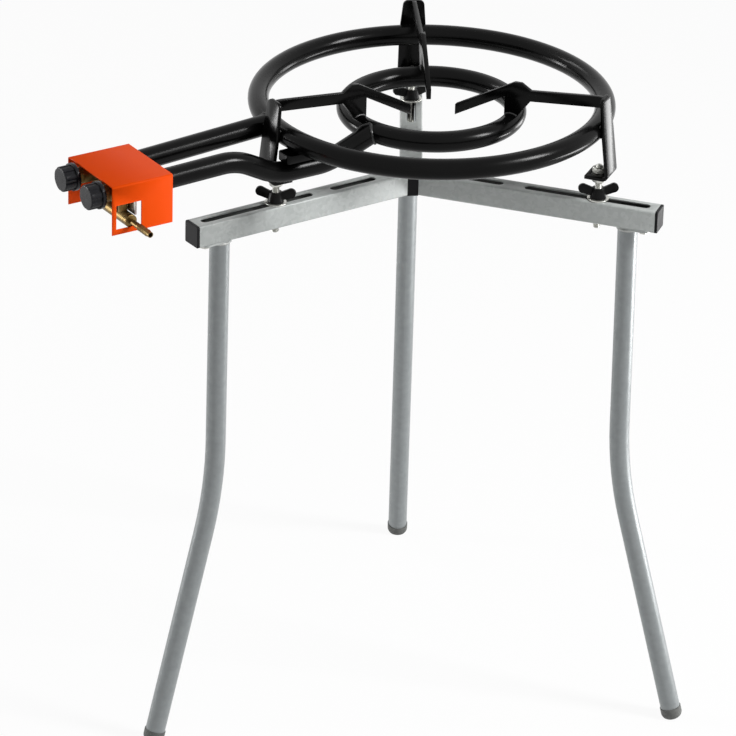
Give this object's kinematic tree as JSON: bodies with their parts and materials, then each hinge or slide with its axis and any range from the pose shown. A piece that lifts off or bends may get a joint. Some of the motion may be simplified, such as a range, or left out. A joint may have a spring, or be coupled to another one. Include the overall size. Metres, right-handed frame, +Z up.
{
  "type": "paella gas burner",
  "caption": "Free-standing gas ring burner: concentric tube rings on a splayed tubular stand carry and heat a wide paella pan; push-and-turn taps sit under a folded cover.",
  "frame": {"origin": "on the floor, under the common axis of the rings", "axes": "+Z up along the rings' axis; -X towards the taps, along the front arm of the stand; +Y to the left of a cook who faces the taps"},
  "size_m": [0.6445, 0.5544, 0.739],
  "materials": {
    "galvanised": "galvanised, satin",
    "galvanised_tube": "galvanised, satin",
    "black_plastic": "moulded, satin",
    "rubber_foot": "moulded, dull",
    "zinc": "zinc plated",
    "black_steel": "black, semi-gloss",
    "black_enamel": "baked enamel, gloss",
    "orange_paint": "powder coat, satin",
    "brass": "turned, satin",
    "knob_plastic": "moulded, semi-gloss"
  },
  "bodies": {
    "stand": {"front_arm": "galvanised", "front_arm_plug": "black_plastic", "front_foot_cap": "rubber_foot", "front_leg": "galvanised_tube", "front_leg_plate": "galvanised", "hub_plug": "black_plastic", "leg_bolts": "zinc", "leg_nuts": "zinc", "rear_left_arm": "galvanised", "rear_left_arm_plug": "black_plastic", "rear_left_foot_cap": "rubber_foot", "rear_left_leg": "galvanised_tube", "rear_left_leg_plate": "galvanised", "rear_right_arm": "galvanised", "rear_right_arm_plug": "black_plastic", "rear_right_foot_cap": "rubber_foot", "rear_right_leg": "galvanised_tube", "rear_right_leg_plate": "galvanised", "stand_hub": "galvanised", "stud_washers": "zinc"},
    "burner": {"control_cover": "orange_paint", "feed_saddle": "black_enamel", "front_pan_bar": "black_enamel", "front_pan_support": "black_enamel", "front_stud": "zinc", "gas_manifold": "brass", "hose_tail": "brass", "inner_feed_tube": "black_enamel", "inner_injector": "brass", "inner_ring": "black_enamel", "inner_tap_body": "brass", "inner_tap_bonnet": "brass", "outer_feed_tube": "black_enamel", "outer_injector": "brass", "outer_ring": "black_enamel", "outer_tap_body": "brass", "outer_tap_bonnet": "brass", "rear_left_pan_bar": "black_enamel", "rear_left_pan_support": "black_enamel", "rear_left_stud": "zinc", "rear_right_pan_bar": "black_enamel", "rear_right_pan_support": "black_enamel", "rear_right_stud": "zinc", "stud_nuts": "zinc", "tap_bracket": "zinc"},
    "outer_tap": {"outer_tap_plug": "brass"},
    "outer_control": {"outer_knob": "knob_plastic", "outer_tap_stem": "zinc"},
    "inner_tap": {"inner_tap_plug": "brass"},
    "inner_control": {"inner_knob": "knob_plastic", "inner_tap_stem": "zinc"},
    "front_nut": {"front_wing_nut": "black_steel"},
    "rear_left_nut": {"rear_left_wing_nut": "black_steel"},
    "rear_right_nut": {"rear_right_wing_nut": "black_steel"}
  },
  "joints": [
    {"name": "burner_lift", "type": "slide", "parent": "stand", "child": "burner", "axis": [0, 0, 1], "range_m": [0, 0.04]},
    {"name": "outer_tap_turn", "type": "hinge", "parent": "burner", "child": "outer_tap", "pos_m": [-0.41, 0.031, 0.6905], "axis": [-1, 0, 0], "range_deg": [0, 180]},
    {"name": "outer_knob_push", "type": "slide", "parent": "outer_tap", "child": "outer_control", "axis": [1, 0, 0], "range_m": [0, 0.003], "stiffness_N_per_m": 500, "springref_m": -0.003},
    {"name": "inner_tap_turn", "type": "hinge", "parent": "burner", "child": "inner_tap", "pos_m": [-0.41, -0.023, 0.6905], "axis": [-1, 0, 0], "range_deg": [0, 180]},
    {"name": "inner_knob_push", "type": "slide", "parent": "inner_tap", "child": "inner_control", "axis": [1, 0, 0], "range_m": [0, 0.003], "stiffness_N_per_m": 500, "springref_m": -0.003},
    {"name": "front_nut_turn", "type": "hinge", "parent": "burner", "child": "front_nut", "pos_m": [-0.19496, 0.00408, 0.629], "axis": [0, 0, 1], "continuous": true},
    {"name": "rear_left_nut_turn", "type": "hinge", "parent": "burner", "child": "rear_left_nut", "pos_m": [0.08853, 0.17375, 0.629], "axis": [0, 0, 1], "continuous": true},
    {"name": "rear_right_nut_turn", "type": "hinge", "parent": "burner", "child": "rear_right_nut", "pos_m": [0.11462, -0.15776, 0.629], "axis": [0, 0, 1], "continuous": true}
  ]
}
